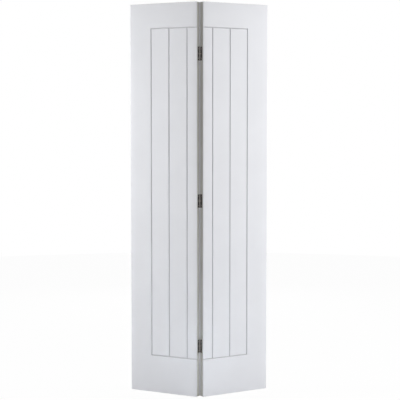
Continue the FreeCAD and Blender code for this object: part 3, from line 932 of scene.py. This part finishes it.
# %% Nylon
nylon = Finish("off_white_nylon", {"Subsurface Weight": 0.15, "Subsurface Scale": 0.002})
cloud = nylon.noise(0.004)
nylon.feed("Base Color", nylon.ramp(cloud, [(0.3, tone(226, 222, 209)),
                                            (0.7, tone(234, 231, 220))]))
nylon.feed("Roughness", nylon.span(nylon.noise(0.0009, 2.0), 0.38, 0.52))
nylon.bump(nylon.noise(0.0005, 2.0), 0.00003)
dress(nylon.material, "pivot_leaf_top_cup", "pivot_leaf_bottom_cup", "guide_leaf_top_cup")

# %% [markdown]
# ### Hinge steel
#
# The hinges are rolled from strip, tumbled and plated. A metal shows mostly what it reflects. In
# the narrow fold each plate reflects the other, so the light is dimmed at every bounce and the
# plates look far darker than the same steel does in the open. The recipe therefore writes the
# steel's colour in the open, dull from tumbling and a little warm, and leaves the rest to the
# light. The strip's rolling marks run up the plate, and plating is a little uneven.

# %% Steel
def steel(name, pale, dark, roughness, streak, depth):
    """Plated steel: clouded colour and gloss, with fine marks stretched by streak."""
    finish = Finish(name, {"Metallic": 1.0})
    cloud = finish.noise(0.012, 4.0)
    marks = finish.noise(0.0005, stretch=streak)
    finish.feed("Base Color", finish.ramp(cloud, [(0.3, dark), (0.7, pale)]))
    finish.feed("Roughness", finish.span(marks, roughness - 0.05, roughness + 0.07,
                                         start=0.3, stop=0.7))
    finish.bump(marks, depth)
    return finish.material


plate_steel = steel("plated_hinge_strip", tone(153, 150, 148), tone(141, 138, 136),
                    roughness=0.20, streak=(1, 1, 0.05), depth=0.000012)
drawn_steel = steel("drawn_pin_wire", tone(172, 170, 167), tone(160, 158, 156),
                    roughness=0.24, streak=(1, 1, 0.04), depth=0.000010)
screw_steel = steel("plated_screw", tone(206, 202, 194), tone(188, 184, 177),
                    roughness=0.24, streak=(1, 1, 1), depth=0.000015)
for hinge in HINGE_MIDDLES:
    dress(plate_steel, f"{hinge}_pivot_half", f"{hinge}_guide_half")
    dress(drawn_steel, f"{hinge}_round_pin")
    dress(screw_steel, f"{hinge}_pivot_cross_screws", f"{hinge}_guide_cross_screws")

# %% [markdown]
# ## The floor
#
# The door stands on a pale floor that runs out into a white background. A floor that is simply
# white would also throw its light up at the door and wash it out. So it is white only for the
# rays that look at it, straight or in a reflection, and a pale grey for light on its way to the
# door. A small share of its shaded look is shown as well, which keeps the door's shadow.

# %% Floor
WHITE_SHARE = 0.97        # how much of the floor's look is plain white, the rest being shaded
FLOOR_RADIUS = 6
FLOOR_SIDES = 48


def is_looked_at(tree):
    """One for camera, glossy and transmission rays, which show the background, and zero for the
    rays that carry light between surfaces."""
    path = tree.nodes.new("ShaderNodeLightPath")
    total = path.outputs["Is Camera Ray"]
    for name in ("Is Glossy Ray", "Is Transmission Ray"):
        top = tree.nodes.new("ShaderNodeMath")
        top.operation = "MAXIMUM"
        tree.links.new(total, top.inputs[0])
        tree.links.new(path.outputs[name], top.inputs[1])
        total = top.outputs[0]
    return total


floor_finish = Finish("pale_floor", {"Roughness": 0.9, "Specular IOR Level": 0.1})
looked_at = is_looked_at(floor_finish.tree)
speckle = floor_finish.ramp(floor_finish.noise(0.35), [(0.3, tone(238, 238, 238)),
                                                       (0.7, tone(246, 246, 246))])
floor_finish.feed("Base Color", floor_finish.blend(looked_at, tone(236, 237, 240), speckle))
glow = floor_finish.node("ShaderNodeEmission", {"Color": (1, 1, 1, 1), "Strength": 1.0})
share = floor_finish.node("ShaderNodeMath", {0: looked_at, 1: WHITE_SHARE}, operation="MULTIPLY")
floor_mix = floor_finish.node("ShaderNodeMixShader", {0: share.outputs[0],
                                                      1: floor_finish.shader.outputs[0],
                                                      2: glow.outputs[0]})
floor_finish.tree.links.new(floor_mix.outputs[0],
                            floor_finish.tree.nodes["Material Output"].inputs["Surface"])

angle = np.linspace(0, 2 * math.pi, FLOOR_SIDES + 1)[:-1]
ring = FLOOR_RADIUS * np.stack([np.cos(angle), np.sin(angle), 0 * angle], axis=-1)
floor_mesh = bpy.data.meshes.new("floor")
floor_mesh.from_pydata(ring.tolist(), [], [list(range(FLOOR_SIDES))])
floor_mesh.materials.append(floor_finish.material)
floor = bpy.data.objects.new("floor", floor_mesh)
bpy.context.scene.collection.objects.link(floor)
print("floor", 2 * FLOOR_RADIUS, "m across")

# %% [markdown]
# ## The room
#
# The room does the same: it is white to look at, but dim and slightly warm as a source of light.
# That light comes from all around and fills the shadows. More of it would flatten the faces.

# %% Room light
AMBIENT = 0.24
ROOM_COLOUR = (1.0, 0.99, 0.97, 1.0)

world = bpy.data.worlds.new("studio")
bpy.context.scene.world = world
world.use_nodes = True
tree = world.node_tree
room = tree.nodes["Background"]
room.inputs["Color"].default_value = ROOM_COLOUR
room.inputs["Strength"].default_value = AMBIENT
white = tree.nodes.new("ShaderNodeBackground")
white.inputs["Color"].default_value = (1, 1, 1, 1)
white.inputs["Strength"].default_value = 1.0
mix = tree.nodes.new("ShaderNodeMixShader")
tree.links.new(is_looked_at(tree), mix.inputs[0])
tree.links.new(room.outputs[0], mix.inputs[1])
tree.links.new(white.outputs[0], mix.inputs[2])
tree.links.new(mix.outputs[0], tree.nodes["World Output"].inputs["Surface"])
print("light of the room:", AMBIENT)

# %% [markdown]
# ## The lamps
#
# The light is soft and comes from the sides. A tall lamp at each side, straight in line with the
# door, grazes the leaves, so the light fades from the outer edges towards the fold and towards
# the floor. A weaker lamp a little higher on each side lifts the top. The right side gets more,
# and some of it from further forward, so the right leaf is the brighter one. A weak lamp overhead
# and two tiny cold ones by the foot reach into the fold, and a broad one behind lets the back be
# seen.
#
# Two lamps never share one place, because overlapping area lamps lose light. The lamps at the
# sides are kept out of reflections: satin primer seen along its surface would otherwise mirror
# them, and a folded leaf would vanish in the glare.

# %% Lamps
COLD = (0.84, 0.94, 1.0)
TALL = (0.5, 1.6)


def lamp(name, place, target, size, watts, spread=180, colour=(1, 1, 1), glare=True):
    """A soft rectangular lamp that points at a target. Its light spreads by so many degrees, and
    without glare it lights surfaces but isn't mirrored in them."""
    data = bpy.data.lights.new(name, "AREA")
    data.shape = "RECTANGLE"
    data.size, data.size_y = size
    data.energy = watts
    data.spread = math.radians(spread)
    data.color = colour
    holder = bpy.data.objects.new(name, data)
    holder.location = place
    way = np.array(target) - np.array(place)
    holder.rotation_euler = (math.atan2(math.hypot(way[0], way[1]), -way[2]), 0.0,
                             math.atan2(way[1], way[0]) - math.pi / 2)
    holder.visible_camera = False
    holder.visible_glossy = glare
    bpy.context.scene.collection.objects.link(holder)
    print(f"lamp {name}: {watts} W")


lamp("left_wall", (-3.2, 0.0, 1.35), (-0.2, 0.0, 1.35), TALL, 47.5, glare=False)
lamp("left_upper", (-3.4, 0.0, 1.5), (-0.2, 0.0, 1.5), TALL, 6.8, spread=60, glare=False)
lamp("right_wall", (3.2, 0.0, 1.35), (0.2, 0.0, 1.35), TALL, 59, glare=False)
lamp("right_upper", (2.4, -0.2, 2.0), (0.2, 0.0, 2.0), (0.5, 0.5), 2.2, spread=90, glare=False)
lamp("right_front", (2.6, -1.9, 1.35), (0.2, 0.0, 1.3), TALL, 16)
lamp("overhead", (0.0, -2.2, 2.6), (0.0, 0.0, 0.8), (1.2, 0.8), 3.0)
lamp("low_front", (0.0, -0.8, 0.15), (0.0, 0.0, 0.10), (0.3, 0.2), 0.11, colour=COLD)
# The patch's lamp points a hair off straight down, which keeps its long side along x.
lamp("floor_patch", (0.0, -0.5, 0.35), (0.0, -0.5001, 0.0), (0.4, 0.3), 0.9, spread=60,
     colour=COLD)
lamp("back_fill", (0.0, 3.4, 1.6), (0.0, 0.0, 1.0), (2.0, 1.8), 40)
